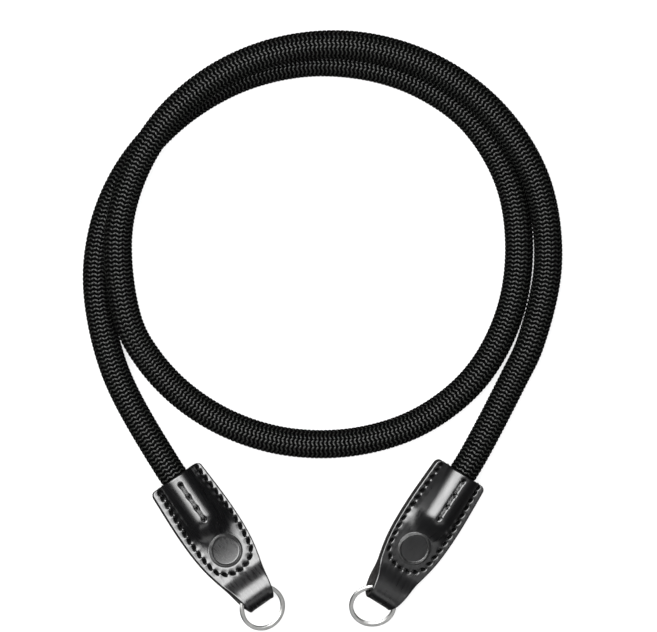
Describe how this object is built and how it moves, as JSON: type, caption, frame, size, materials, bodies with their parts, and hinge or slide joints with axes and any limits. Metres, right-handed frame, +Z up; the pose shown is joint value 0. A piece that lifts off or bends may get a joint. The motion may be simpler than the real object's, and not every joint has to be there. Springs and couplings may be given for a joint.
{
  "type": "camera rope strap",
  "caption": "Round braided rope camera strap, lying looped, with a stitched leather tab and a split ring on each end.",
  "frame": {"origin": "on the surface the strap lies on, under the middle of the box round the two leather tabs and their rings", "axes": "+X from the left tab to the right tab, +Y from the rings towards the far side of the rope's loop, +Z up"},
  "size_m": [0.1738, 0.2173, 0.0215],
  "materials": {
    "rope_braid": "matte braided yarn with a thin lighter fleck",
    "tab_leather": "smooth black leather, softly glossy, edges burnished",
    "ring_steel": "bright satin steel"
  },
  "bodies": {
    "strap": {"rope": "rope_braid", "left_tab": "tab_leather", "right_tab": "tab_leather"},
    "left_ring_body": {"left_ring": "ring_steel"},
    "right_ring_body": {"right_ring": "ring_steel"}
  },
  "joints": [
    {"name": "left_ring_swing", "type": "hinge", "parent": "strap", "child": "left_ring_body", "pos_m": [-0.02299, -0.01819, 0.00601], "axis": [0.8118, 0.5601, -0.165], "range_deg": [-80, 40]},
    {"name": "right_ring_swing", "type": "hinge", "parent": "strap", "child": "right_ring_body", "pos_m": [0.02318, -0.018, 0.00682], "axis": [0.8047, -0.5166, -0.2924], "range_deg": [-80, 40]}
  ]
}
